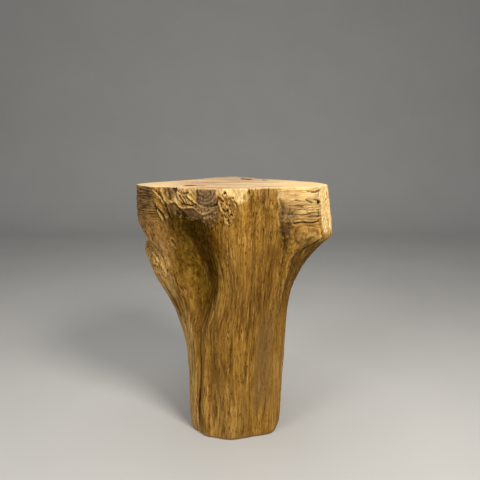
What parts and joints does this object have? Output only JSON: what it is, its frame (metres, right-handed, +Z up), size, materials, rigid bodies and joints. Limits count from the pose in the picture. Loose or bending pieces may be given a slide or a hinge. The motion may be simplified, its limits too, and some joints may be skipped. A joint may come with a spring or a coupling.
{
  "type": "wood block",
  "caption": "Root-flare tree stump stood on its narrow sawn end as a pedestal, with a flat sawn top, cut root stubs left and right and a deep hollow between them at the front.",
  "frame": {"origin": "on the foot's sawn face, under the centre of the block's bounding box", "axes": "+Z up from the foot to the sawn top, the block's length; the front, with the hollow between the root stubs, looks along -Y; +X to the viewer's right"},
  "size_m": [0.5843, 0.491, 0.8],
  "materials": {
    "oiled_wood": "oiled, weathered and fibrous, matte"
  },
  "bodies": {
    "root": {"wood_block": "oiled_wood"}
  },
  "joints": []
}
